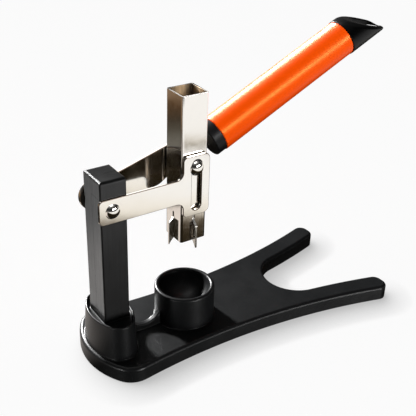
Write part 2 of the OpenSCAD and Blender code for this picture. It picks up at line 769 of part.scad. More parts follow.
module lever_plate() color([0.86, 0.84, 0.8]) difference() {
    lever_frame() difference() {
        union() {
            plate_xz(lever_outline(), lever_y, lever_back_y);
            rod_y(2 * eye_r, lever_y, lever_back_y);
        }
        rod_y(bush_d, lever_y - cut_over, lever_back_y + cut_over);
        for (u = pin_slot_u) translate([u, 0, 0])
            rod_y(pin_slot_w, lever_y - cut_over, lever_back_y + cut_over);
        translate([pin_slot_u[0], lever_y - cut_over, -pin_slot_w / 2])
            cube([pin_slot_u[1] - pin_slot_u[0], lever_t + 2 * cut_over, pin_slot_w]);
    }
    handle_frame() for (s = tang_pins_s) translate([s, 0, 0])
        rod_y(tang_pin_d, -lever_t, lever_t);
}

module pivot_bush() color([0.75, 0.6, 0.35]) at_pivot() difference() {
    union() {
        rod_y(bush_d - fit_gap / 2, lever_y - fit_gap, lever_back_y);
        rod_y(washer_d, back_y + fit_gap / 2, lever_y);
    }
    rod_y(pin_d + 2 * run_gap, back_y - cut_over, lever_back_y + cut_over);
}

// Room for the tang, in the handle's frame
module tang_room() translate([neck_s, -lever_t / 2 - fit_gap, -tang_w / 2 - fit_gap])
    cube([tang_len + 3 - neck_s, lever_t + 2 * fit_gap, tang_w + 2 * fit_gap]);

module ferrule() color([0.05, 0.05, 0.055]) difference() {
    handle_turned() translate([0, 0, ferrule_start]) rotate_extrude() polygon([
        [0, 0], [ferrule_d / 2 - ferrule_chamfer, 0], [ferrule_d / 2, ferrule_chamfer],
        [ferrule_d / 2, ferrule_len], [0, ferrule_len]]);
    handle_frame() tang_room();
}

module handle_core() color([0.25, 0.25, 0.26]) difference() {
    handle_turned() translate([0, 0, core_start]) cylinder(r = core_r, h = core_end - core_start);
    handle_frame() {
        tang_room();
        for (s = tang_pins_s) translate([s, 0, 0]) rod_y(tang_pin_d, -handle_d, handle_d);
    }
}

module tang_pins() color([0.6, 0.6, 0.62]) handle_frame() for (s = tang_pins_s)
    translate([s, 0, 0]) rod_y(tang_pin_d - fit_gap / 2, -core_r + 1.2, core_r - 1.2);

module handle_sleeve() color([0.95, 0.33, 0.02])
    handle_turned() translate([0, 0, sleeve_start]) rotate_extrude() difference() {
        polygon(rounded([[handle_d / 2 - sleeve_wall, 0, 0], [handle_d / 2, 0, 0.8],
                         [handle_d / 2, sleeve_len, 0.5], [handle_d / 2 - sleeve_wall, sleeve_len, 0]]));
    }

// Cap cut off obliquely, with a spigot in the sleeve and a long hanging hole across it
module end_cap() color([0.05, 0.05, 0.055]) difference() {
    r = handle_d / 2 + cap_lip;
    s0 = sleeve_end + fit_gap;
    hole_s = s0 + cap_short + (cap_long - cap_short) * 0.565;
    union() {
        intersection() {
            handle_turned() translate([0, 0, s0]) cylinder(r = r, h = cap_long);
            handle_frame() plate_xz(rounded([[s0, -r - cut_over, 0], [s0 + cap_long, -r - cut_over, 0],
                                             [s0 + cap_long, -r, 3], [s0 + cap_short, r, 1.5],
                                             [s0 + cap_short - 3, r + cut_over, 0],
                                             [s0, r + cut_over, 0]]), -r, r);
        }
        handle_turned() translate([0, 0, s0 - spigot_len]) cylinder(r = core_r, h = spigot_len + cut_over);
    }
    handle_frame() translate([hole_s, 0, 0]) {
        for (e = [-1, 1]) translate([e * (hang_len - hang_w) / 2, 0, -2 * r])
            cylinder(d = hang_w, h = 4 * r);
        translate([-(hang_len - hang_w) / 2, -hang_w / 2, -2 * r])
            cube([hang_len - hang_w, hang_w, 4 * r]);
    }
}

base();
sole();
post_core();
post_rear_shell();
post_front_shell();
post_front_cap();
shell_screws();
base_screw();
base_washer();
guide_bracket();
pivot_pin();
pivot_washer();
pivot_nut();
ram_tube();
blade_long();
blade_cross();
blade_rivet();
ram_pin();
guide_block();
ram_spacer();
ram_washer();
ram_nut();
lever_plate();
pivot_bush();
ferrule();
handle_core();
tang_pins();
handle_sleeve();
end_cap();
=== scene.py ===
"""Bench lever press: a hinged lever drives a square ram with crossed blades down over a round cup.
The CAD nodes of the frame are kept and painted, and the base, the handle's cap and its collar are
replaced by smoother surfaces of nearly the same form. Shapes are in millimetres, the scene in metres."""
import json
import math

import bpy
import numpy as np
from mathutils import Matrix, Vector

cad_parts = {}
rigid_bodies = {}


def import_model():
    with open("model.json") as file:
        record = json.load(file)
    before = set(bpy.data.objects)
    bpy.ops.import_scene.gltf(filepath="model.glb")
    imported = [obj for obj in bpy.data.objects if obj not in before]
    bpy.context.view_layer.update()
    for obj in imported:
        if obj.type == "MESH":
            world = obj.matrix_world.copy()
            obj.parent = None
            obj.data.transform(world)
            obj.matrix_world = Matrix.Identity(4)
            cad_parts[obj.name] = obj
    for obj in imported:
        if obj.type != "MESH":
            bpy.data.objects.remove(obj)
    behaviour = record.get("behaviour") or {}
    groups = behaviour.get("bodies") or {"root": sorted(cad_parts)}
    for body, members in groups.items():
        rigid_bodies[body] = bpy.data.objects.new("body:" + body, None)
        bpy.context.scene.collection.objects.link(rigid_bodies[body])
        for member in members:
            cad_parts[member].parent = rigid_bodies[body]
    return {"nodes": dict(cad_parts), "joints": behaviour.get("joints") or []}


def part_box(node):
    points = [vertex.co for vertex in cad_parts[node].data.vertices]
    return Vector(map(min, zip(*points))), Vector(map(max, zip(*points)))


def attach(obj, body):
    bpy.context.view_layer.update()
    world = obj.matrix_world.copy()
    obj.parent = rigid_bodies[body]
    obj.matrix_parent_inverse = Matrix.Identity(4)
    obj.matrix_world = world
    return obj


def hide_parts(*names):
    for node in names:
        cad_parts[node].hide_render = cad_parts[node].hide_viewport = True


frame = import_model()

NODES = frame["nodes"]
MM = 0.001


def write_size():
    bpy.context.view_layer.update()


write_size()

# ---------------------------------------------------------------- materials

# the sockets of a Mix node, for plain values and for colours
VALUE_A, VALUE_B, VALUE_OUT = 2, 3, 0
COLOUR_A, COLOUR_B, COLOUR_OUT = 6, 7, 2


def new_material(name, base, metallic=0.0, roughness=0.5, **extra):
    """A Principled material; extra names further sockets, with _ for a space."""
    mat = bpy.data.materials.new(name)
    mat.use_nodes = True
    b = mat.node_tree.nodes["Principled BSDF"]
    b.inputs["Base Color"].default_value = (*base, 1.0)
    b.inputs["Metallic"].default_value = metallic
    b.inputs["Roughness"].default_value = roughness
    for key, value in extra.items():
        b.inputs[key.replace("_", " ")].default_value = value
    return mat


def node(tree, kind, links=(), **values):
    """A shader node. links holds (socket, source); in_Some_Name sets a socket, other names a property."""
    n = tree.nodes.new(kind)
    for key, value in values.items():
        if key.startswith("in_"):
            n.inputs[key[3:].replace("_", " ")].default_value = value
        else:
            setattr(n, key, value)
    for socket, source in links:
        tree.links.new(source, n.inputs[socket])
    return n


def mixed(tree, factor, a, b):
    """The colour between a and b by the factor. Each of the two is a socket or a plain colour."""
    mix = node(tree, "ShaderNodeMix", [("Factor", factor)], data_type="RGBA")
    for index, colour in ((COLOUR_A, a), (COLOUR_B, b)):
        if isinstance(colour, bpy.types.NodeSocket):
            tree.links.new(colour, mix.inputs[index])
        else:
            mix.inputs[index].default_value = (*colour, 1.0)
    return mix.outputs[COLOUR_OUT]


def set_stops(ramp, stops):
    """Gives a colour ramp these (position, colour) stops, which run from low to high."""
    elements = ramp.color_ramp.elements
    for element, (position, colour) in ((elements[0], stops[0]), (elements[1], stops[-1])):
        element.position = position
        element.color = (*colour, 1)
    for position, colour in stops[1:-1]:
        elements.new(position).color = (*colour, 1)


def effect(name, inputs, outputs):
    """A shader node group with float inputs (label, value) and outputs (label, kind)."""
    g = bpy.data.node_groups.new(name, "ShaderNodeTree")
    for label, value in inputs:
        g.interface.new_socket(label, in_out="INPUT", socket_type="NodeSocketFloat").default_value = value
    for label, kind in outputs:
        g.interface.new_socket(label, in_out="OUTPUT", socket_type="NodeSocket" + kind)
    return g, g.nodes.new("NodeGroupInput"), g.nodes.new("NodeGroupOutput")


def make_grain():
    """Fine moulded grain: a normal, a slightly uneven roughness and a mask of the grain's peaks."""
    g, gi, go = effect("moulded_grain",
                       [("Scale", 2600.0), ("Depth", 0.25), ("Rough Low", 0.34), ("Rough High", 0.5)],
                       [("Normal", "Vector"), ("Roughness", "Float"), ("Speck", "Float")])
    co = node(g, "ShaderNodeTexCoord").outputs["Object"]
    fine = node(g, "ShaderNodeTexNoise", [("Vector", co), ("Scale", gi.outputs["Scale"])],
                in_Detail=2.0, in_Roughness=0.6)
    wide = node(g, "ShaderNodeTexNoise", [("Vector", co)], in_Scale=45.0, in_Detail=3.0)
    bump = node(g, "ShaderNodeBump", [("Height", fine.outputs["Fac"]), ("Strength", gi.outputs["Depth"])],
                in_Distance=0.00012)
    rough = node(g, "ShaderNodeMapRange",
                 [("Value", wide.outputs["Fac"]), ("To Min", gi.outputs["Rough Low"]),
                  ("To Max", gi.outputs["Rough High"])], in_From_Min=0.35, in_From_Max=0.65)
    speck = node(g, "ShaderNodeMapRange", [("Value", fine.outputs["Fac"])],
                 in_From_Min=0.6, in_From_Max=0.75)
    g.links.new(bump.outputs["Normal"], go.inputs["Normal"])
    g.links.new(rough.outputs["Result"], go.inputs["Roughness"])
    g.links.new(speck.outputs["Result"], go.inputs["Speck"])
    return g


def make_plate_effect():
    """Polished plate: long soft waves in the normal, and faint smears in roughness and tone."""
    g, gi, go = effect("plated_metal", [("Rough Low", 0.1), ("Rough High", 0.2), ("Wave", 0.15)],
                       [("Normal", "Vector"), ("Roughness", "Float"), ("Tone", "Float")])
    co = node(g, "ShaderNodeTexCoord").outputs["Object"]
    wave = node(g, "ShaderNodeTexNoise", [("Vector", co)], in_Scale=60.0, in_Detail=1.0)
    smear = node(g, "ShaderNodeTexNoise", [("Vector", co)], in_Scale=190.0, in_Detail=4.0,
                 in_Roughness=0.6)
    bump = node(g, "ShaderNodeBump", [("Height", wave.outputs["Fac"]), ("Strength", gi.outputs["Wave"])],
                in_Distance=0.0006)
    rough = node(g, "ShaderNodeMapRange",
                 [("Value", smear.outputs["Fac"]), ("To Min", gi.outputs["Rough Low"]),
                  ("To Max", gi.outputs["Rough High"])], in_From_Min=0.3, in_From_Max=0.7)
    g.links.new(bump.outputs["Normal"], go.inputs["Normal"])
    g.links.new(rough.outputs["Result"], go.inputs["Roughness"])
    g.links.new(smear.outputs["Fac"], go.inputs["Tone"])
    return g


GRAIN = make_grain()
PLATE = make_plate_effect()


def with_effect(mat, group, **values):
    """Places an effect in a material, feeds normal and roughness from it, and returns its node."""
    t = mat.node_tree
    g = node(t, "ShaderNodeGroup", node_tree=group)
    for key, value in values.items():
        g.inputs[key.replace("_", " ")].default_value = value
    for label in ("Normal", "Roughness"):
        t.links.new(g.outputs[label], t.nodes["Principled BSDF"].inputs[label])
    return g


def grained(name, base, low, high, depth, scale=2600.0, speck=None, **extra):
    """Moulded plastic or rubber, with the grain's peaks in the colour speck where it is given."""
    mat = new_material(name, base, 0.0, low, **extra)
    g = with_effect(mat, GRAIN, Scale=scale, Depth=depth, Rough_Low=low, Rough_High=high)
    if speck:
        t = mat.node_tree
        specked = mixed(t, g.outputs["Speck"], base, speck)
        t.links.new(specked, t.nodes["Principled BSDF"].inputs["Base Color"])
    return mat


def plated(name, base, low, high):
    """Metal whose colour is up to 8 per cent darker in its smears."""
    mat = new_material(name, base, 1.0, low)
    g = with_effect(mat, PLATE, Rough_Low=low, Rough_High=high)
    t = mat.node_tree
    smeared = mixed(t, g.outputs["Tone"], [0.92 * c for c in base], base)
    t.links.new(smeared, t.nodes["Principled BSDF"].inputs["Base Color"])
    return mat


def streaked(mat, across, depth):
    """Adds upright streaks to a material's normal: noise that is stretched by the scale across."""
    t = mat.node_tree
    normal = t.nodes["Principled BSDF"].inputs["Normal"]
    co = node(t, "ShaderNodeTexCoord").outputs["Object"]
    drawn = node(t, "ShaderNodeVectorMath", [(0, co)], operation="MULTIPLY")
    drawn.inputs[1].default_value = across
    lines = node(t, "ShaderNodeTexNoise", [("Vector", drawn.outputs[0])], in_Scale=1.0, in_Detail=2.0)
    bump = node(t, "ShaderNodeBump",
                [("Height", lines.outputs["Fac"]), ("Normal", normal.links[0].from_socket)],
                in_Strength=depth, in_Distance=0.001)
    t.links.new(bump.outputs["Normal"], normal)
    return mat


def bore_with_painted_shade(mat, half, tone, roughness):
    """Duller and browner walls inside a square bore round the Z axis, where the larger of |x| and |y| is
    under this half width, with painted light in upright streaks towards the middle of each wall and painted
    shade darkening them towards the corners."""
    t = mat.node_tree
    b = t.nodes["Principled BSDF"]
    co = node(t, "ShaderNodeTexCoord").outputs["Object"]
    size = node(t, "ShaderNodeVectorMath", [(0, co)], operation="ABSOLUTE")
    sep = node(t, "ShaderNodeSeparateXYZ", [(0, size.outputs[0])])
    larger = node(t, "ShaderNodeMath", [(0, sep.outputs["X"]), (1, sep.outputs["Y"])], operation="MAXIMUM")
    inside = node(t, "ShaderNodeMath", [(0, larger.outputs[0])], operation="LESS_THAN")
    inside.inputs[1].default_value = half
    drawn = node(t, "ShaderNodeVectorMath", [(0, co)], operation="MULTIPLY")
    drawn.inputs[1].default_value = (300.0, 300.0, 40.0)
    painted_streaks = node(t, "ShaderNodeTexNoise", [("Vector", drawn.outputs[0])], in_Scale=1.0, in_Detail=4.0)
    smaller = node(t, "ShaderNodeMath", [(0, sep.outputs["X"]), (1, sep.outputs["Y"])], operation="MINIMUM")
    middle = node(t, "ShaderNodeMapRange", [("Value", smaller.outputs[0])],
                  in_From_Min=0.0, in_From_Max=0.8 * half, in_To_Min=1.2, in_To_Max=0.0)
    # painted light and shade: the wall tone is bright along the streaks near each wall's middle and falls to
    # 12 per cent of it towards the corners
    light = node(t, "ShaderNodeMath", [(0, painted_streaks.outputs["Fac"]), (1, middle.outputs["Result"])],
                 operation="MULTIPLY")
    wall = mixed(t, light.outputs[0], [0.12 * c for c in tone], tone)
    plain = node(t, "ShaderNodeMapRange", [("Value", inside.outputs[0])], in_To_Min=1.0, in_To_Max=0.4)
    t.links.new(plain.outputs["Result"], b.inputs["Metallic"])
    outer = b.inputs["Base Color"].links[0].from_socket
    t.links.new(mixed(t, inside.outputs[0], outer, wall), b.inputs["Base Color"])
    dull = node(t, "ShaderNodeMix", [("Factor", inside.outputs[0]),
                                     (VALUE_A, b.inputs["Roughness"].links[0].from_socket)])
    dull.inputs[VALUE_B].default_value = roughness
    t.links.new(dull.outputs[VALUE_OUT], b.inputs["Roughness"])
    return mat


NICKEL_TONE = (0.955, 0.92, 0.865)
BORE_HALF = 8.95

BLACK = grained("satin_black", (0.0045, 0.0048, 0.0051), 0.34, 0.40, 0.35, scale=1500.0,
                speck=(0.018, 0.019, 0.020), Specular_IOR_Level=0.22)
POST = streaked(grained("post_black", (0.005, 0.005, 0.005), 0.34, 0.42, 0.10, Specular_IOR_Level=0.17),
                (900.0, 900.0, 6.0), 0.12)
CAP = grained("cap_black", (0.004, 0.004, 0.0045), 0.36, 0.44, 0.06, Specular_IOR_Level=0.2)
RUBBER = grained("sole_rubber", (0.015, 0.015, 0.015), 0.6, 0.75, 0.3)
NICKEL = plated("nickel_plate", NICKEL_TONE, 0.05, 0.13)
# painted shade: a dark brown nickel for the bevels of the pressed plates, standing in for the dark
# surroundings that their rounded edges reflect
PAINTED_EDGE_SHADE = plated("nickel_edge_painted_shade", (0.14, 0.105, 0.08), 0.25, 0.35)
# the bore's walls are duller and browner, with painted light and shade
TUBE = bore_with_painted_shade(plated("nickel_tube", NICKEL_TONE, 0.05, 0.13), BORE_HALF * MM, (0.85, 0.62, 0.38), 0.5)
STEEL = plated("blade_steel", (0.85, 0.82, 0.77), 0.18, 0.3)
CORE = plated("core_steel", (0.55, 0.55, 0.56), 0.3, 0.4)
SCREW = plated("dark_screws", (0.12, 0.12, 0.13), 0.3, 0.4)
BRONZE = plated("bush_bronze", (0.6, 0.42, 0.2), 0.25, 0.35)
GREY = grained("grey_core", (0.08, 0.08, 0.09), 0.45, 0.55, 0.2)
ORANGE = grained("orange_sleeve", (0.63, 0.053, 0.0), 0.30, 0.36, 0.02, scale=900.0,
                 Specular_IOR_Level=0.38, Specular_Tint=(1.0, 0.5, 0.1, 1.0))

LOOKS = {
    "base": BLACK, "sole": RUBBER, "post_core": CORE, "post_rear_shell": POST, "post_front_shell": POST,
    "post_front_cap": POST, "shell_screws": SCREW, "base_screw": CORE, "base_washer": CORE,
    "guide_bracket": NICKEL, "pivot_pin": NICKEL, "pivot_washer": NICKEL, "pivot_nut": NICKEL,
    "ram_tube": TUBE, "blade_long": STEEL, "blade_cross": STEEL, "blade_rivet": STEEL, "ram_pin": NICKEL,
    "guide_block": CORE, "ram_spacer": NICKEL, "ram_washer": NICKEL, "ram_nut": NICKEL,
    "lever_plate": NICKEL, "pivot_bush": BRONZE, "ferrule": CAP, "handle_core": GREY, "tang_pins": CORE,
    "handle_sleeve": ORANGE, "end_cap": CAP,
}

# width of the bevel and the material of its own, where it has one: on the pressed plates that is painted
# shade, a dark brown rim for the dark surroundings their rounded edges would reflect
BEVELS = {
    "guide_bracket": (0.45, PAINTED_EDGE_SHADE), "lever_plate": (0.45, PAINTED_EDGE_SHADE),
    "ram_tube": (0.15, None), "blade_long": (0.15, None), "blade_cross": (0.15, None),
}
BEVEL_STEPS, BEVEL_ANGLE = 3, 35.0
WELD_REACH, FLAT_ANGLE = 0.001, 1.0


def paint(obj, mat):
    """Gives every slot of a CAD node this material."""
    if not obj.data.materials:
        obj.data.materials.append(mat)
    for s in obj.material_slots:
        s.material = mat


def soften(obj, width, edge):
    """Bevels the sharp edges of a CAD node. With a material of its own, the bevel needs its full width,
    so the triangles of each flat face are joined first and the bevel isn't held back by short edges."""
    weld = obj.modifiers.new("weld", "WELD")
    weld.merge_threshold = WELD_REACH * MM
    if edge:
        flat = obj.modifiers.new("flat", "DECIMATE")
        flat.decimate_type = "DISSOLVE"
        flat.angle_limit = math.radians(FLAT_ANGLE)
    bevel = obj.modifiers.new("edge", "BEVEL")
    bevel.width = width * MM
    bevel.segments = BEVEL_STEPS
    bevel.limit_method = "ANGLE"
    bevel.angle_limit = math.radians(BEVEL_ANGLE)
    bevel.harden_normals = True
    bevel.use_clamp_overlap = not edge
    if edge:
        obj.data.materials.append(edge)
        bevel.material = 1


for name, mat in LOOKS.items():
    paint(NODES[name], mat)

for name, (width, edge) in BEVELS.items():
    soften(NODES[name], width, edge)

# ---------------------------------------------------------------- surfaces


class Surface:
    """Collects strips and lids of points with their normals, in millimetres."""

    def __init__(self):
        """Starts with nothing."""
        self.points, self.normals, self.faces, self.count = [], [], [], 0

    def add(self, points, normals):
        """Adds points and returns the number of the first."""
        self.points.append(np.asarray(points, float))
        self.normals.append(np.asarray(normals, float))
        start = self.count
        self.count += len(points)
        return start

    def strips(self, rings, normals, closed=True):
        """Quads between each row of points and the next; closed joins the ends of each row."""
        rows, n = rings.shape[:2]
        start = self.add(rings.reshape(-1, 3), normals.reshape(-1, 3))
        i = np.arange(n if closed else n - 1)
        j = (i + 1) % n
        for k in range(rows - 1):
            a, b = start + k * n, start + (k + 1) * n
            self.faces.extend(np.stack([a + i, a + j, b + j, b + i], 1).tolist())

    def lid(self, outline, z, up_):
        """One flat face at the level z, facing up (1) or down (-1)."""
        start = self.add(np.c_[outline, np.full(len(outline), z)], np.tile((0, 0, up_), (len(outline), 1)))
        self.faces.append(list(range(start, start + len(outline))))

    def loft(self, plan, profile, centre=(0.0, 0.0)):
        """Carries a profile round an outline. plan(d) is the outline moved in by d, and the profile
        holds (d, z, outward, up), the last two being the normal, or None at a sharp edge."""
        out = plan(0.0) - plan(1.0)
        out /= np.linalg.norm(out, axis=1)[:, None]
        for run in split(profile):
            rings, normals = [], []
            for d, z, side, up_ in run:
                p = plan(d) + np.array(centre)
                rings.append(np.c_[p, np.full(len(p), z)])
                m = np.c_[out * side, np.full(len(p), up_)]
                normals.append(m / np.linalg.norm(m, axis=1)[:, None])
            self.strips(np.array(rings), np.array(normals))

    def make(self, name, mat, body, *nodes, place=None):
        """Turns it into a piece that rides on a body and replaces CAD nodes. place is a matrix from
        the points' own axes to the frame. Faces are turned to the side of their normals."""
        points, normals = np.concatenate(self.points), np.concatenate(self.normals)
        if place is not None:
            points = points @ place[:3, :3].T + place[:3, 3]
            normals = normals @ place[:3, :3].T
        normals /= np.linalg.norm(normals, axis=1)[:, None]
        faces = []
        for f in self.faces:
            p = points[f]
            facing = np.cross(p - p[0], np.roll(p, -1, 0) - p[0]).sum(0)
            faces.append(f if facing @ normals[f].sum(0) >= 0 else f[::-1])
        me = bpy.data.meshes.new(name)
        me.from_pydata((points * MM).tolist(), [], faces)
        me.polygons.foreach_set("use_smooth", [True] * len(faces))
        me.normals_split_custom_set_from_vertices(normals.tolist())
        me.materials.append(mat)
        o = bpy.data.objects.new(name, me)
        bpy.context.collection.objects.link(o)
        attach(o, body)
        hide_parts(*nodes)
        return o


def split(profile):
    """The stretches of a profile between its sharp edges."""
    runs = [[]]
    for p in profile:
        if p is None:
            runs.append([])
        else:
            runs[-1].append(p)
    return runs


def angles(start, end, n):
    """n + 1 angles, given in degrees and returned in radians."""
    return np.radians(np.linspace(start, end, n + 1))


def arc(c, r, a0, a1, n):
    """n + 1 points c + r (cos a, sin a), with a from a0 to a1 in degrees."""
    a = angles(a0, a1, n)
    return np.c_[c[0] + r * np.cos(a), c[1] + r * np.sin(a)]


def heading(v):
    """Direction of a vector in degrees, from +X towards +Y."""
    return math.degrees(math.atan2(v[1], v[0]))


def round_over(r, d, z, n, end=90.0):
    """Convex quarter round, or more of the circle, from a wall at d up to the level z."""
    return [(d + r * (1 - math.cos(t)), z - r + r * math.sin(t), math.cos(t), math.sin(t))
            for t in angles(0, end, n)]


def foot(f, d, z, n):
    """Hollow fillet from the level z up to a wall at d."""
    return [(d - f + f * math.sin(t), z + f - f * math.cos(t), math.sin(t), math.cos(t))
            for t in angles(0, 90, n)]


# ---------------------------------------------------------------- base

# the ends, underside and top come from the CAD node, and the post stands over the base screw's washer
BASE_LOW, BASE_HIGH = (np.round(np.array(v) / MM, 3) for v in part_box("base"))
POST_AXIS = np.round(np.mean(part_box("base_washer"), axis=0)[:2] / MM, 3)
BACK_X, FRONT_X, BASE_Z = BASE_LOW[0], BASE_HIGH[0], BASE_LOW[2]
COLLAR_TOP = CUP_TOP = BASE_HIGH[2]
# plate: its sides are large circles that are nearest at the waist, its back end is a flatter one
PLATE_TOP, PLATE_EDGE, PLATE_FOOT_EDGE = 12.5, 2.6, 0.5
SOLE_INSET, SOLE_TOP = 3.5, 1.5
SIDE_R, BACK_R, CORNER_R, TIP_R, PRONG_W = 500.0, 55.0, 17.0, 7.0, 17.0
WAIST_X, WAIST_HALF, NOTCH_X = 10.0, 34.0, 80.5
SIDE_C = np.array([WAIST_X, WAIST_HALF + SIDE_R])
BACK_C = np.array([BACK_R + BACK_X, 0.0])
# collar: half width, half length and radius of its ends, then draft, rim and the post's section
COLLAR_HALF_W, COLLAR_HALF_L, COLLAR_END_R = 14.5, 24.5, 10.5
COLLAR_DRAFT, COLLAR_RIM, COLLAR_FOOT = 1.4, 0.85, 0.8
COLLAR_FLOOR = COLLAR_TOP - 2 * COLLAR_RIM
POST_W, POST_L, POST_R, POST_FOOT = 19.1, 23.3, 1.3, 0.6
# cup
CUP_R, CUP_RIM, CUP_RIM_END, CUP_FOOT, BOWL_DEPTH = 22.0, 1.7, 150.0, 0.8, 16.0
# the bowl's rings end at this angle from its lowest point, in radians
BOWL_END = 0.02
# rib: a wall between collar and cup whose top sags by a circle; its ends are buried in both
COLLAR_SIDE_X = POST_AXIS[0] + COLLAR_HALF_W
RIB_START, RIB_MID, RIB_END = COLLAR_SIDE_X - 1.0, (COLLAR_SIDE_X - CUP_R) / 2, 1.5 - CUP_R
RIB_LOW, RIB_SAG_R, RIB_SAG_HALF = 4, 15, 14.6
RIB_HALF_W, RIB_FOOT, RIB_EDGE = 2.25, 0.9, 1.1


def circles_meet(c0, r0, c1, r1):
    """The crossing of two circles that lies towards the back: from c0 a step along the line of the
    centres, a = (r0^2 - r1^2 + d^2) / 2d, and then the rest of r0 square to it."""
    d = np.linalg.norm(c1 - c0)
    u = (c1 - c0) / d
    a = (r0 * r0 - r1 * r1 + d * d) / (2 * d)
    p, q = c0 + a * u, math.sqrt(r0 * r0 - a * a) * np.array([-u[1], u[0]])
    return p + q if q[0] < 0 else p - q


def prong_tip(reach):
    """Centre of a prong's end round, which is this far from the centre of the side's circle."""
    x = FRONT_X - TIP_R
    return np.array([x, SIDE_C[1] - math.sqrt(reach ** 2 - (x - WAIST_X) ** 2)])


def base_plan(d):
    """Outline of the fork moved in by d, as arcs that touch each other: the bowed back, a corner, the
    waisted side, the prong's two end rounds, its inner side and the notch, and then all mirrored."""
    in_r = SIDE_R + PRONG_W
    corner = circles_meet(BACK_C, BACK_R - CORNER_R, SIDE_C, SIDE_R + CORNER_R)
    outer, inner = prong_tip(SIDE_R + TIP_R), prong_tip(in_r - TIP_R)
    notch_r = ((NOTCH_X - WAIST_X) ** 2 + SIDE_C[1] ** 2 - in_r ** 2) / (2 * (in_r - NOTCH_X + WAIST_X))
    notch = np.array([NOTCH_X + notch_r, 0.0])
    a_corner, a_side = heading(corner - BACK_C), heading(corner - SIDE_C)
    a_tip, a_in, a_notch = heading(outer - SIDE_C), heading(inner - SIDE_C), heading(notch - SIDE_C)
    half = np.concatenate([
        arc(BACK_C, BACK_R - d, 180, a_corner, 16),
        arc(corner, CORNER_R - d, a_corner, a_side + 180, 16)[1:],
        arc(SIDE_C, SIDE_R + d, a_side, a_tip, 40)[1:],
        arc(outer, TIP_R - d, a_tip + 180, 0, 12)[1:],
        arc(inner, TIP_R - d, 0, a_in, 12),
        arc(SIDE_C, in_r - d, a_in, a_notch, 20)[1:],
        arc(notch, notch_r + d, a_notch + 180, 180, 18)[1:]])
    return np.concatenate([half, half[-2:0:-1] * [1, -1]])


def collar_plan(d):
    """Oval moved in by d: two end arcs, joined by two side arcs of radius k + half width that touch
    them, where k = (e^2 - g^2) / 2g and e and g are the half length and half width less the end radius."""
    e, g = COLLAR_HALF_L - COLLAR_END_R, COLLAR_HALF_W - COLLAR_END_R
    k = (e * e - g * g) / (2 * g)
    t = heading((k, e))
    side_r, end_r = k + COLLAR_HALF_W - d, COLLAR_END_R - d
    return np.concatenate([arc((-k, 0), side_r, -t, t, 20)[1:], arc((0, e), end_r, t, 180 - t, 28)[1:],
                           arc((k, 0), side_r, 180 - t, 180 + t, 20)[1:],
                           arc((0, -e), end_r, 180 + t, 360 - t, 28)[1:]])


def cup_plan(d):
    """The cup's circle moved in by d."""
    a = np.linspace(0, 2 * np.pi, 96, endpoint=False)
    return np.c_[np.cos(a), np.sin(a)] * (CUP_R - d)


def post_plan(d):
    """The post's rectangle with rounded corners, moved in by d."""
    return np.concatenate([
        arc((x * (POST_W / 2 - POST_R), y * (POST_L / 2 - POST_R)), POST_R - d, a, a + 90, 6)
        for x, y, a in ((1, 1, 0), (-1, 1, 90), (-1, -1, 180), (1, -1, 270))])


def add_plate(s):
    """The plate: base_plan carried up from the sole's recess, round a small lower edge, up the wall and
    over the large upper edge, closed by a lid above and one in the recess."""
    lower = [(PLATE_FOOT_EDGE * (1 - math.cos(t)), BASE_Z + PLATE_FOOT_EDGE - PLATE_FOOT_EDGE * math.sin(t),
              math.cos(t), -math.sin(t)) for t in angles(90, 0, 3)]
    s.loft(base_plan, [(SOLE_INSET, SOLE_TOP, -1, 0), (SOLE_INSET, BASE_Z, -1, 0), None,
                       (SOLE_INSET, BASE_Z, 0, -1), *lower, *round_over(PLATE_EDGE, 0, PLATE_TOP, 10)])
    s.lid(base_plan(PLATE_EDGE), PLATE_TOP, 1)
    s.lid(base_plan(SOLE_INSET), SOLE_TOP, -1)


def add_collar(s):
    """The collar: collar_plan carried up from a fillet at its foot, over a round rim and down a hollow
    quarter round to a flat floor, with a fillet where the post comes out of it."""
    dish = [(2 * COLLAR_RIM + COLLAR_RIM * (1 - math.cos(t)), COLLAR_FLOOR + COLLAR_RIM * (1 - math.sin(t)),
             -math.cos(t), math.sin(t)) for t in angles(0, 90, 5)]
    s.loft(collar_plan, [*foot(COLLAR_FOOT, -COLLAR_DRAFT, PLATE_TOP, 6),
                         *round_over(COLLAR_RIM, 0, COLLAR_TOP, 14, 180), *dish], POST_AXIS)
    s.lid(collar_plan(3 * COLLAR_RIM) + POST_AXIS, COLLAR_FLOOR, 1)
    s.loft(post_plan, foot(POST_FOOT, 0, COLLAR_FLOOR, 4), POST_AXIS)


def add_cup(s):
    """The cup: a circle carried up from a fillet, over a round rim and down a bowl that is part of a
    sphere. The sphere's radius is (m^2 + h^2) / 2h for the mouth's radius m and its height h."""
    mouth, height = CUP_R - 2 * CUP_RIM, BOWL_DEPTH - CUP_RIM
    bowl_r = (mouth ** 2 + height ** 2) / (2 * height)
    bowl = [(CUP_R - bowl_r * math.sin(t), CUP_TOP - BOWL_DEPTH + bowl_r * (1 - math.cos(t)),
             -math.sin(t), math.cos(t)) for t in np.linspace(math.asin(mouth / bowl_r), BOWL_END, 26)]
    s.loft(cup_plan, [*foot(CUP_FOOT, 0, PLATE_TOP, 6),
                      *round_over(CUP_RIM, 0, CUP_TOP, 16, CUP_RIM_END), *bowl[1:]])


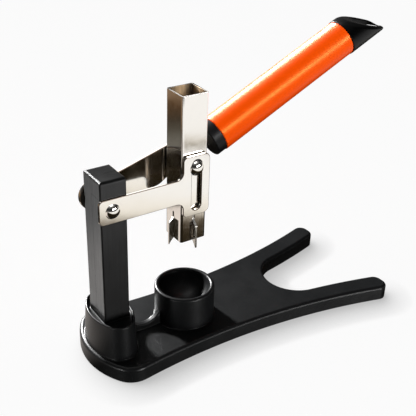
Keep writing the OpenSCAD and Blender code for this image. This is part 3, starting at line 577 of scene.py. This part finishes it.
def add_rib(s):
    """The rib: rows of points along X, with y from the plate's fillet up the wall and over the rounded
    top, whose height is a circle's lower arc: low + R - sqrt(R^2 - x^2), with x from its middle."""
    x = np.linspace(RIB_START, RIB_END, 40)
    x_in = np.clip(x - RIB_MID, -RIB_SAG_HALF, RIB_SAG_HALF)
    rise = np.sqrt(RIB_SAG_R ** 2 - x_in ** 2)
    top = PLATE_TOP + RIB_LOW + RIB_SAG_R - rise
    slope = x_in / rise
    sagging = np.c_[-slope, np.ones_like(x)] / np.sqrt(1 + slope ** 2)[:, None]
    level = np.tile((0.0, 1.0), (len(x), 1))
    half = [(RIB_HALF_W + RIB_FOOT * (1 - math.sin(t)), PLATE_TOP + RIB_FOOT * (1 - math.cos(t)), level,
             math.sin(t), math.cos(t)) for t in np.radians([0, 22, 45, 68, 90])]
    half += [(RIB_HALF_W - RIB_EDGE * (1 - math.cos(t)), top + RIB_EDGE * (math.sin(t) - 1), sagging,
              math.cos(t), math.sin(t)) for t in angles(0, 90, 5)]
    rows, normals = [], []
    for sign, part in ((-1, half), (1, half[::-1])):
        for w, z, lean, side, up_ in part:
            rows.append(np.c_[x, np.full_like(x, sign * w), np.broadcast_to(z, x.shape)])
            normals.append(np.c_[up_ * lean[:, 0], np.full_like(x, sign * side), up_ * lean[:, 1]])
    s.strips(np.array(rows), np.array(normals), closed=False)


def make_base():
    """Plate, collar, cup and rib as one piece."""
    s = Surface()
    add_plate(s)
    add_collar(s)
    add_cup(s)
    add_rib(s)
    s.make("base_body", BLACK, "stand", "base")


# ---------------------------------------------------------------- handle

JOINTS = {j["name"]: np.round(np.array(j["pos_m"]) / MM, 3) for j in frame["joints"]}
PIVOT = JOINTS["lever_pivot"]
ARM = np.round(JOINTS["ram_slide"] - PIVOT, 3)
# the lever's slope at rest, and the handle's, which is steeper by the bend of the tang
REST = math.atan2(ARM[2], ARM[0])
TANG_BEND, HANDLE_FROM_PIVOT = 12.3, 97.0
TILT = REST + math.radians(TANG_BEND)
# columns: along the handle, across it, up from it, and the place where it starts
HANDLE = np.eye(4)
HANDLE[:3, 0] = (math.cos(TILT), 0, math.sin(TILT))
HANDLE[:3, 1] = (0, 1, 0)
HANDLE[:3, 2] = (-math.sin(TILT), 0, math.cos(TILT))
HANDLE[:3, 3] = PIVOT + HANDLE_FROM_PIVOT * np.array([math.cos(REST), 0, math.sin(REST)])

# collar of the handle: s is the distance along the handle
FERRULE_START, FERRULE_END, FERRULE_R, FERRULE_EDGE = -7.3, 0.2, 12.8, 1.0
AXIS_R = 0.01
# cap: a round bar cut off by a slanting plane, with a slot as hanging hole
CAP_R, CAP_S = 13.85, 121.8
CAP_CUT_S, CAP_TIP_S = CAP_S + 5, CAP_S + 40
CAP_TURN, CAP_BLUNT = 4.5, 3.4
CAP_SEAM_EDGE, CAP_CUT_EDGE, CAP_TIP_EDGE = 0.5, 2.4, 3.0
HOLE_S = CAP_CUT_S + 35 * 0.565
HOLE_R, HOLE_HALF, HOLE_EDGE = 8.5, 2.0, 0.8
# net of the cap: size of its cubes, the box they fill, reach of a slope, rounds of moving the points
# onto the surface, and the least slope squared that a move divides by
NET_STEP, SLOPE_REACH, NET_ROUNDS, LEAST_SLOPE = 0.5, 0.02, 3, 0.2
NET_LOW, NET_HIGH = (CAP_S - 1, -15, -15), (CAP_TIP_S + 1, 15, 15)


def turned(profile):
    """Surface of revolution: each (s, r, ns, nr) becomes the ring (s, r cos a, r sin a), with the
    normal (ns, nr cos a, nr sin a)."""
    n = 96
    a = np.linspace(0, 2 * np.pi, n, endpoint=False)
    c, t = np.cos(a), np.sin(a)
    rings = np.array([np.c_[np.full(n, s_), r * c, r * t] for s_, r, ns, nr in profile])
    normals = np.array([np.c_[np.full(n, ns), nr * c, nr * t] for s_, r, ns, nr in profile])
    return rings, normals


def end_round(s_, r, rho):
    """Quarter round of radius rho from an end face at s_ to a cylinder of radius r beyond it."""
    return [(s_ + rho * (1 - math.sin(t)), r - rho * (1 - math.cos(t)), -math.sin(t), math.cos(t))
            for t in angles(90, 0, 6)]


def slope_of(solid, p):
    """Slope of solid at the points p, from its change over a short way along each axis."""
    steps = SLOPE_REACH * np.eye(3)
    return np.stack([(solid(p + k) - solid(p - k)) / (2 * SLOPE_REACH) for k in steps], 1)


def surface_net(solid, low, high):
    """Points, normals and quads of the surface where solid(points) is zero. A grid of cubes fills the
    box. Each cube that the surface crosses gets one point, the mean of the crossings on its edges, and
    each grid edge that it crosses gets one quad. The points then move along the slope by solid / slope^2."""
    axes = [np.arange(l, h + NET_STEP, NET_STEP) for l, h in zip(low, high)]
    grid = np.stack(np.meshgrid(*axes, indexing="ij"), -1)
    f = solid(grid.reshape(-1, 3)).reshape(grid.shape[:3])
    inside = f < 0
    corners = np.array([(i, j, k) for i in (0, 1) for j in (0, 1) for k in (0, 1)])
    cells = np.zeros([k - 1 for k in f.shape], int)
    for i, j, k in corners:
        cells += inside[i:i + cells.shape[0], j:j + cells.shape[1], k:k + cells.shape[2]]
    active = np.argwhere((cells > 0) & (cells < len(corners)))
    index = np.full(cells.shape, -1)
    index[tuple(active.T)] = np.arange(len(active))
    total, count = np.zeros((len(active), 3)), np.zeros(len(active))
    for a in range(len(corners)):
        for b in range(a + 1, len(corners)):
            if np.abs(corners[a] - corners[b]).sum() != 1:
                continue
            ia, ib = tuple((active + corners[a]).T), tuple((active + corners[b]).T)
            fa, fb = f[ia], f[ib]
            cross = (fa < 0) != (fb < 0)
            t = np.where(cross, fa / np.where(fa == fb, 1, fa - fb), 0)[:, None]
            total += np.where(cross[:, None], grid[ia] + t * (grid[ib] - grid[ia]), 0)
            count += cross
    points = total / count[:, None]
    for _ in range(NET_ROUNDS):
        g = slope_of(solid, points)
        off = np.clip(solid(points), -NET_STEP, NET_STEP)[:, None]
        points = points - off * g / np.maximum((g * g).sum(1), LEAST_SLOPE)[:, None]
    faces = []
    for axis in range(3):
        u, v = [k for k in range(3) if k != axis]
        a = inside.take(range(0, f.shape[axis] - 1), axis)
        b = inside.take(range(1, f.shape[axis]), axis)
        edges = np.argwhere(a != b)
        edges = edges[(edges[:, u] > 0) & (edges[:, v] > 0)
                      & (edges[:, u] < f.shape[u] - 1) & (edges[:, v] < f.shape[v] - 1)]
        quad = []
        for du, dv in ((1, 1), (0, 1), (0, 0), (1, 0)):
            q = edges.copy()
            q[:, u] -= du
            q[:, v] -= dv
            quad.append(index[tuple(q.T)])
        faces += np.stack(quad, 1).tolist()
    return points, slope_of(solid, points), faces


def both(a, b, rho):
    """Inside a and b, with the edge between them rounded by rho: the larger of the two, and near the
    edge the distance from an arc, hypot(a + rho, b + rho) - rho."""
    pa, pb = np.maximum(a + rho, 0), np.maximum(b + rho, 0)
    return np.minimum(np.maximum(a, b), -rho) + np.hypot(pa, pb)


def cap_solid(p):
    """Below zero inside the cap: inside a round bar, under the slanting plane from its top at CAP_CUT_S
    to its underside at CAP_TIP_S, short of the blunted tip, beyond the seam, and outside the hole, which
    is a slot along the handle. Plane and hole are turned about the axis by CAP_TURN."""
    s_, y, v = p[:, 0], p[:, 1], p[:, 2]
    c, t = math.cos(math.radians(CAP_TURN)), math.sin(math.radians(CAP_TURN))
    y, v = y * c + v * t, v * c - y * t
    bar = np.hypot(y, v) - CAP_R
    fall = 2 * CAP_R / (CAP_TIP_S - CAP_CUT_S)
    cut = (v - CAP_R + fall * (s_ - CAP_CUT_S)) / math.hypot(1, fall)
    hole = HOLE_R - np.hypot(np.maximum(np.abs(s_ - HOLE_S) - HOLE_HALF, 0), y)
    cap = both(both(bar, cut, CAP_CUT_EDGE), s_ - (CAP_TIP_S - CAP_BLUNT), CAP_TIP_EDGE)
    return both(both(cap, CAP_S - s_, CAP_SEAM_EDGE), hole, HOLE_EDGE)


def make_cap():
    """The handle's cap, as the net of cap_solid."""
    cap = Surface()
    points, normals, cap.faces = surface_net(cap_solid, NET_LOW, NET_HIGH)
    cap.add(points, normals)
    cap.make("cap_body", CAP, "lever", "end_cap", place=HANDLE)


def make_ferrule():
    """The handle's collar: a flat end, a quarter round and a cylinder, turned about the handle's axis."""
    band = Surface()
    band.strips(*turned([(FERRULE_START, AXIS_R, -1, 0), *end_round(FERRULE_START, FERRULE_R, FERRULE_EDGE),
                         (FERRULE_END, FERRULE_R, 0, 1)]))
    band.make("ferrule_body", CAP, "lever", "ferrule", place=HANDLE)


make_base()
make_cap()
make_ferrule()

# ---------------------------------------------------------------- stage

FLOOR_SIZE = 6.0
FLOOR_GREY, FLOOR_MATT = (0.12, 0.12, 0.12, 1), (0.5, 0.5, 0.5, 1)
# the floor's glow in the camera, from hidden to open, and how far a neighbour darkens it: painted shadow, as
# the glow dims where nearby parts hide the floor's sky
GLOW_LOW, GLOW_HIGH, GLOW_FROM, SHADE_REACH = 0.49, 0.935, 0.45, 0.024
# what polished parts see in the floor: tones along a line towards the front right; the dark stretch around
# the press is painted shade, standing in for its black base and shadows
MIRROR_WAY = (0.45, -0.89, 0.0)
MIRROR_TONES = [
    (0.0, (0.24, 0.16, 0.10)), (0.035, (0.083, 0.045, 0.021)), (0.09, (0.051, 0.039, 0.027)),
    (0.12, (0.085, 0.076, 0.06)), (0.163, (0.168, 0.159, 0.138)), (0.185, (0.008, 0.006, 0.003)),
    (0.62, (0.015, 0.011, 0.006)), (0.655, (0.034, 0.025, 0.014)), (0.667, (0.06, 0.045, 0.028)),
    (0.676, (0.11, 0.088, 0.062)), (0.686, (0.42, 0.38, 0.32)), (0.695, (0.83, 0.79, 0.71)),
    (0.712, (0.96, 0.93, 0.87)), (0.74, (1.0, 1.0, 1.0)), (0.828, (1.0, 1.0, 1.0)),
    (0.838, (0.36, 0.33, 0.28)), (0.846, (0.38, 0.35, 0.30)), (0.862, (0.80, 0.76, 0.70)),
    (0.885, (1.0, 1.0, 1.0))]
# a pale card on the left of that line, mirrored by the lower end of the tube
OFF, ON = (0, 0, 0), (1, 1, 1)
CARD_STOPS = [(0.299, OFF), (0.307, ON), (0.445, ON), (0.47, OFF)]
CARD_TONE, CARD_EDGE_X, CARD_FULL_X = (0.80, 0.73, 0.68), -0.045, -0.075
WORLD_TONES = [(0.0, (0.12, 0.115, 0.11)), (0.3, (0.035, 0.035, 0.035)), (0.6, (0.03, 0.03, 0.03)),
               (0.9, (0.25, 0.25, 0.25))]


def stage_plane(name, size, mat):
    """A square on the ground that is stage and not part of the press."""
    me = bpy.data.meshes.new(name)
    s = size / 2
    me.from_pydata([(-s, -s, 0), (s, -s, 0), (s, s, 0), (-s, s, 0)], [], [(0, 1, 2, 3)])
    me.materials.append(mat)
    o = bpy.data.objects.new(name, me)
    bpy.context.collection.objects.link(o)
    return o


def make_floor():
    """White sweep. The camera sees it bright with painted soft shadows, where its glow dims near the press;
    polished parts see the tones and the card above, and all else sees a plain grey."""
    mat = bpy.data.materials.new("floor_white")
    mat.use_nodes = True
    t = mat.node_tree
    t.nodes.clear()
    out = node(t, "ShaderNodeOutputMaterial")
    path = node(t, "ShaderNodeLightPath")
    matt = node(t, "ShaderNodeBsdfDiffuse", in_Color=FLOOR_GREY)
    # painted shadow: the glow dims where parts hide the sky, leaning back and a little left so the shade
    # falls to the front right
    lean = node(t, "ShaderNodeCombineXYZ", in_X=-0.4, in_Y=0.85, in_Z=0.35)
    open_sky = node(t, "ShaderNodeAmbientOcclusion", [("Normal", lean.outputs[0])], in_Distance=SHADE_REACH)
    glow = node(t, "ShaderNodeMapRange", [("Value", open_sky.outputs["AO"])],
                in_From_Min=GLOW_FROM, in_To_Min=GLOW_LOW, in_To_Max=GLOW_HIGH)
    lift = node(t, "ShaderNodeEmission", [("Strength", glow.outputs["Result"])])
    bright = node(t, "ShaderNodeAddShader", [(0, matt.outputs[0]), (1, lift.outputs[0])])
    co = node(t, "ShaderNodeTexCoord").outputs["Object"]
    along = node(t, "ShaderNodeVectorMath", [(0, co)], operation="DOT_PRODUCT")
    along.inputs[1].default_value = MIRROR_WAY
    shift = node(t, "ShaderNodeMapRange", [("Value", along.outputs["Value"])],
                 in_From_Min=-0.5, in_From_Max=0.5)
    tones = node(t, "ShaderNodeValToRGB", [("Fac", shift.outputs["Result"])])
    set_stops(tones, MIRROR_TONES)
    card = node(t, "ShaderNodeValToRGB", [("Fac", shift.outputs["Result"])])
    set_stops(card, CARD_STOPS)
    axes = node(t, "ShaderNodeSeparateXYZ", [(0, co)])
    left = node(t, "ShaderNodeMapRange", [("Value", axes.outputs["X"])],
                in_From_Min=CARD_EDGE_X, in_From_Max=CARD_FULL_X)
    here = node(t, "ShaderNodeMath", [(0, card.outputs["Color"]), (1, left.outputs["Result"])],
                operation="MULTIPLY")
    seen = node(t, "ShaderNodeEmission",
                [("Color", mixed(t, here.outputs[0], tones.outputs["Color"], CARD_TONE))], in_Strength=1.0)
    plain = node(t, "ShaderNodeBsdfDiffuse", in_Color=FLOOR_MATT)
    mirror = node(t, "ShaderNodeMixShader",
                  [(0, path.outputs["Is Glossy Ray"]), (1, plain.outputs[0]), (2, seen.outputs[0])])
    final = node(t, "ShaderNodeMixShader",
                 [(0, path.outputs["Is Camera Ray"]), (1, mirror.outputs[0]), (2, bright.outputs[0])])
    t.links.new(final.outputs[0], out.inputs["Surface"])
    return mat


def make_world():
    """White to the camera; a dim studio with a lighter zenith to everything else."""
    world = bpy.data.worlds.new("studio")
    bpy.context.scene.world = world
    world.use_nodes = True
    t = world.node_tree
    t.nodes.clear()
    out = node(t, "ShaderNodeOutputWorld")
    path = node(t, "ShaderNodeLightPath")
    co = node(t, "ShaderNodeTexCoord").outputs["Generated"]
    sep = node(t, "ShaderNodeSeparateXYZ", [("Vector", co)])
    ramp = node(t, "ShaderNodeValToRGB", [("Fac", sep.outputs["Z"])])
    set_stops(ramp, WORLD_TONES)
    dim = node(t, "ShaderNodeBackground", [("Color", ramp.outputs["Color"])], in_Strength=1.0)
    white = node(t, "ShaderNodeBackground", in_Color=(1, 1, 1, 1), in_Strength=1.0)
    mix = node(t, "ShaderNodeMixShader",
               [(0, path.outputs["Is Camera Ray"]), (1, dim.outputs[0]), (2, white.outputs[0])])
    t.links.new(mix.outputs[0], out.inputs["Surface"])


def area(name, place, aim, size, power):
    """A rectangular light at a place, turned to face what it is aimed at."""
    light = bpy.data.lights.new(name, "AREA")
    light.shape = "RECTANGLE"
    light.size, light.size_y = size
    light.energy = power
    o = bpy.data.objects.new(name, light)
    bpy.context.collection.objects.link(o)
    o.location = place
    o.rotation_euler = (Vector(aim) - Vector(place)).to_track_quat("-Z", "Y").to_euler()
    return o


def link_light(light, use, objects, state):
    """Keeps what a light reaches (receiver) or what shades it (blocker) to these objects (INCLUDE)
    or off them (EXCLUDE)."""
    group = bpy.data.collections.new(f"{light.name}_{use}s")
    setattr(light.light_linking, f"{use}_collection", group)
    for o in objects:
        group.objects.link(o)
    for item in group.collection_objects:
        item.light_linking.link_state = state


FLOOR = stage_plane("floor", FLOOR_SIZE, make_floor())
BASE_BODY, CAP_BODY, FERRULE_BODY = [
    bpy.data.objects[k] for k in ("base_body", "cap_body", "ferrule_body")]
POST_PARTS = [NODES[k] for k in ("post_rear_shell", "post_front_shell", "post_front_cap")]
DARK_PARTS = [BASE_BODY, CAP_BODY, FERRULE_BODY, *POST_PARTS]
METALS = [o for k, o in NODES.items() if LOOKS[k] in (NICKEL, TUBE, STEEL)]
SLEEVE = NODES["handle_sleeve"]

# name, place, aim, size, power, and the only objects it lights (INCLUDE) or those it leaves out (EXCLUDE)
LIGHTS = [
    ("key", (-0.17, 1.37, 0.62), (0.0, 0.0, 0.05), (0.14, 0.14), 112.0, "EXCLUDE", [FLOOR]),
    ("front", (0.40, -1.05, 0.63), (0.09, 0.0, 0.17), (1.0, 0.28), 13.0, "EXCLUDE", [FLOOR, *DARK_PARTS]),
    ("top", (-0.15, 0.35, 1.25), (0.0, 0.0, 0.1), (0.8, 0.6), 2.5, "", []),
    ("metal_back", (0.40, 1.20, 1.05), (0.0, 0.0, 0.17), (1.4, 0.7), 4.5, "INCLUDE", METALS),
    ("metal_top", (0.0, -0.1, 1.2), (0.0, 0.0, 0.17), (0.7, 0.7), 4.0, "INCLUDE", METALS),
    ("post_left", (-0.75, 0.80, -0.45), (-0.06, 0.0, 0.08), (0.15, 0.8), 5.0, "INCLUDE", POST_PARTS),
    ("base_side", (-1.12, -0.34, -0.12), (-0.06, 0.0, 0.06), (0.2, 0.5), 5.0, "INCLUDE", [BASE_BODY]),
    ("dark_right", (0.24, -1.18, -0.12), (0.0, 0.0, 0.06), (0.35, 0.5), 11.0,
     "INCLUDE", [BASE_BODY, *POST_PARTS]),
    ("handle_back", (0.31, 0.82, 0.78), (0.086, 0.014, 0.17), (1.0, 0.6), 60.0, "INCLUDE", [SLEEVE]),
    ("handle_front", (0.42, -1.12, 0.66), (0.086, 0.014, 0.17), (1.0, 0.16), 11.5,
     "INCLUDE", [SLEEVE, FERRULE_BODY])]

for name, place, aim, size, power, state, objects in LIGHTS:
    light = area(name, place, aim, size, power)
    if objects:
        link_light(light, "receiver", objects, state)
    if place[2] < 0:
        # it stands below the floor, which would shade it
        link_light(light, "blocker", [FLOOR], "EXCLUDE")

make_world()

# ---------------------------------------------------------------- camera

# fitted to the photograph: azimuth, elevation and roll in radians, place in metres, lens in mm
AZ, EL, ROLL = -0.60493069, 0.50246933, 0.03245579
SPOT = Vector((-0.252991, -0.392998, 0.358291))
LENS, SENSOR, CLIP_START = 66.7248, 36.0, 0.01


def make_camera():
    """Looks from SPOT along AZ and EL, turned by ROLL about its own line of sight."""
    back = Vector((math.sin(AZ) * math.cos(EL), -math.cos(AZ) * math.cos(EL), math.sin(EL)))
    right = Vector((math.cos(AZ), math.sin(AZ), 0.0))
    up = right.cross(-back)
    r_axis = math.cos(ROLL) * right + math.sin(ROLL) * up
    u_axis = -math.sin(ROLL) * right + math.cos(ROLL) * up
    lens = bpy.data.cameras.new("camera")
    lens.lens = LENS
    lens.sensor_width = SENSOR
    lens.clip_start = CLIP_START
    cam = bpy.data.objects.new("camera", lens)
    bpy.context.collection.objects.link(cam)
    cam.matrix_world = Matrix.Translation(SPOT) @ Matrix((r_axis, u_axis, back)).transposed().to_4x4()
    bpy.context.scene.camera = cam


make_camera()
bpy.context.scene.view_settings.view_transform = "Standard"

write_size()
